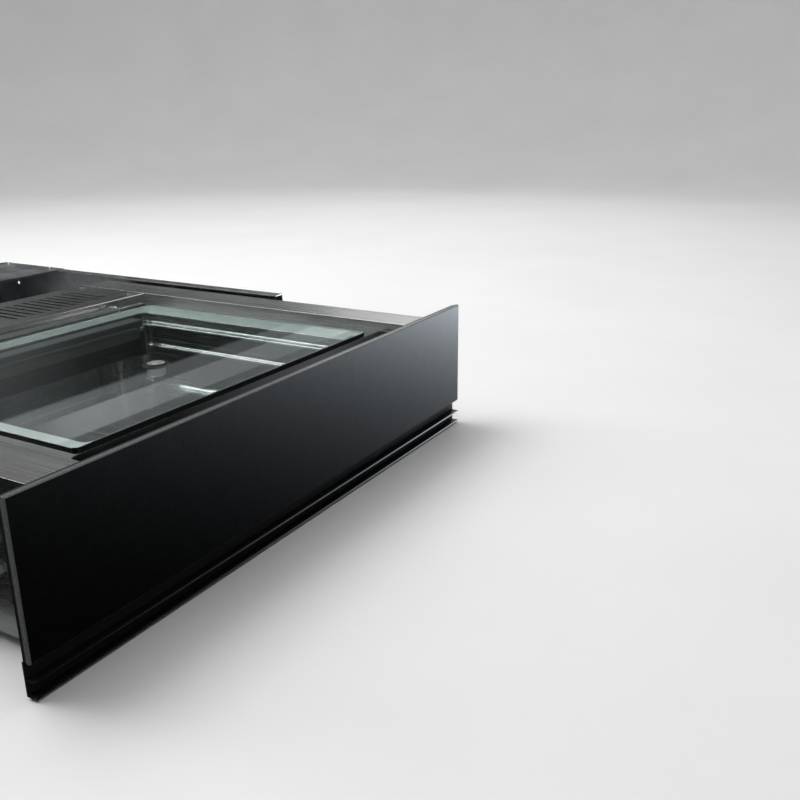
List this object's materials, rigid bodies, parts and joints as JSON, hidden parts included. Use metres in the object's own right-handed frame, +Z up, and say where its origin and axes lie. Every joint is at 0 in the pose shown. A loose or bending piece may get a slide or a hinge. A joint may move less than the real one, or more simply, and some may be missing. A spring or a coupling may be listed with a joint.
{
  "type": "vacuum sealing drawer",
  "caption": "Built-in vacuum sealing drawer: dark glass front, steel drawer on telescopic rails, hinged glass lid over a vacuum chamber with a lifting sealing bar, touch strip and vacuum pump.",
  "frame": {"origin": "centre of the housing's underside, where it stands on the niche floor", "axes": "+X to the right of someone facing the front, +Y into the niche, +Z up; the drawer opens towards -Y and stands 212 mm open at rest"},
  "size_m": [0.59, 0.7555, 0.139],
  "materials": {
    "tinted_glass": "satin dark glass",
    "anodised_dark": "dark anodised",
    "bright_metal": "fine machined",
    "brushed_steel": "brushed",
    "deep_drawn_steel": "satin",
    "galvanised": "zinc plated sheet",
    "zinc_rail": "zinc plated",
    "bearing_steel": "polished",
    "clear_glass": "clear, polished edge",
    "black_glass": "black gloss",
    "black_plastic": "matte",
    "grey_silicone": "matte silicone",
    "black_rubber": "matte",
    "board": "solder mask",
    "cast_alloy": "cast",
    "motor_paint": "satin paint",
    "copper": "enamelled copper",
    "heater_alloy": "drawn ribbon",
    "ptfe_tape": "glass cloth tape",
    "white_plastic": "matte",
    "screw_steel": "zinc plated",
    "brass": "turned",
    "blue_coil": "moulded"
  },
  "bodies": {
    "housing": {"housing_base": "galvanised", "housing_side_left": "galvanised", "housing_side_right": "galvanised", "housing_back": "galvanised", "housing_rear_tie": "galvanised", "housing_fasteners": "screw_steel", "mains_socket": "black_plastic", "release_body": "white_plastic", "rail_outer_left": "zinc_rail", "rail_outer_right": "zinc_rail"},
    "rail_middle_left": {"rail_middle_left": "zinc_rail"},
    "rail_middle_right": {"rail_middle_right": "zinc_rail"},
    "rail_balls_outer": {"rail_balls_outer": "bearing_steel"},
    "rail_balls_inner": {"rail_balls_inner": "bearing_steel"},
    "release_plunger": {"release_plunger": "black_plastic"},
    "drawer": {"rail_inner_left": "zinc_rail", "rail_inner_right": "zinc_rail", "chassis_pan": "galvanised", "side_cover_left": "brushed_steel", "side_cover_right": "brushed_steel", "deck_plate": "brushed_steel", "rear_cover": "brushed_steel", "front_glass": "tinted_glass", "front_carrier": "anodised_dark", "front_frame": "galvanised", "grip_profile": "bright_metal", "drawer_screws": "screw_steel", "touch_panel_glass": "black_glass", "touch_panel_frame": "black_plastic", "touch_board": "board", "chamber_tub": "deep_drawn_steel", "chamber_seal": "grey_silicone", "suction_fitting": "screw_steel", "contact_posts": "brass", "hinge_brackets": "brushed_steel", "pump_motor": "motor_paint", "motor_stator": "copper", "motor_bearings": "bearing_steel", "fan_cowl": "motor_paint", "pump_block": "cast_alloy", "pump_mounts": "black_rubber", "exhaust_filter": "white_plastic", "vacuum_hose": "black_rubber", "valve_hose": "black_rubber", "transformer": "copper", "power_board": "board", "valve_manifold": "cast_alloy", "solenoid_valves": "blue_coil"},
    "lid": {"glass_lid": "clear_glass", "lid_port_fitting": "bearing_steel", "lid_port_gasket": "grey_silicone", "counter_strip": "grey_silicone", "lid_clamp": "brushed_steel", "hinge_pins": "screw_steel"},
    "sealing_bar": {"sealing_bar": "anodised_dark", "sealing_bar_caps": "black_plastic", "heating_bands": "heater_alloy", "release_tape": "ptfe_tape"},
    "motor_rotor": {"motor_rotor": "screw_steel", "motor_fan": "black_plastic"}
  },
  "joints": [
    {"name": "drawer_slide", "type": "slide", "parent": "housing", "child": "drawer", "axis": [0, -1, 0], "range_m": [-0.212, 0.288]},
    {"name": "rail_middle_left_slide", "type": "slide", "parent": "housing", "child": "rail_middle_left", "axis": [0, -1, 0], "range_m": [-0.106, 0.144]},
    {"name": "rail_middle_right_slide", "type": "slide", "parent": "housing", "child": "rail_middle_right", "axis": [0, -1, 0], "range_m": [-0.106, 0.144]},
    {"name": "rail_balls_outer_slide", "type": "slide", "parent": "housing", "child": "rail_balls_outer", "axis": [0, -1, 0], "range_m": [-0.053, 0.072]},
    {"name": "rail_balls_inner_slide", "type": "slide", "parent": "housing", "child": "rail_balls_inner", "axis": [0, -1, 0], "range_m": [-0.159, 0.216]},
    {"name": "lid_hinge", "type": "hinge", "parent": "drawer", "child": "lid", "pos_m": [0, -0.0975, 0.119], "axis": [-1, 0, 0], "range_deg": [0, 78]},
    {"name": "sealing_bar_lift", "type": "slide", "parent": "drawer", "child": "sealing_bar", "axis": [0, 0, 1], "range_m": [0, 0.004]},
    {"name": "motor_spin", "type": "hinge", "parent": "drawer", "child": "motor_rotor", "pos_m": [0, -0.0315, 0.06], "axis": [1, 0, 0], "continuous": true},
    {"name": "release_press", "type": "slide", "parent": "housing", "child": "release_plunger", "axis": [0, 1, 0], "range_m": [0, 0.005], "stiffness_N_per_m": 400, "springref_m": -0.002}
  ],
  "couplings": [
    {"joint": "rail_middle_left_slide", "follows": "drawer_slide", "ratio": 0.5},
    {"joint": "rail_middle_right_slide", "follows": "drawer_slide", "ratio": 0.5},
    {"joint": "rail_balls_outer_slide", "follows": "drawer_slide", "ratio": 0.25},
    {"joint": "rail_balls_inner_slide", "follows": "drawer_slide", "ratio": 0.75}
  ]
}
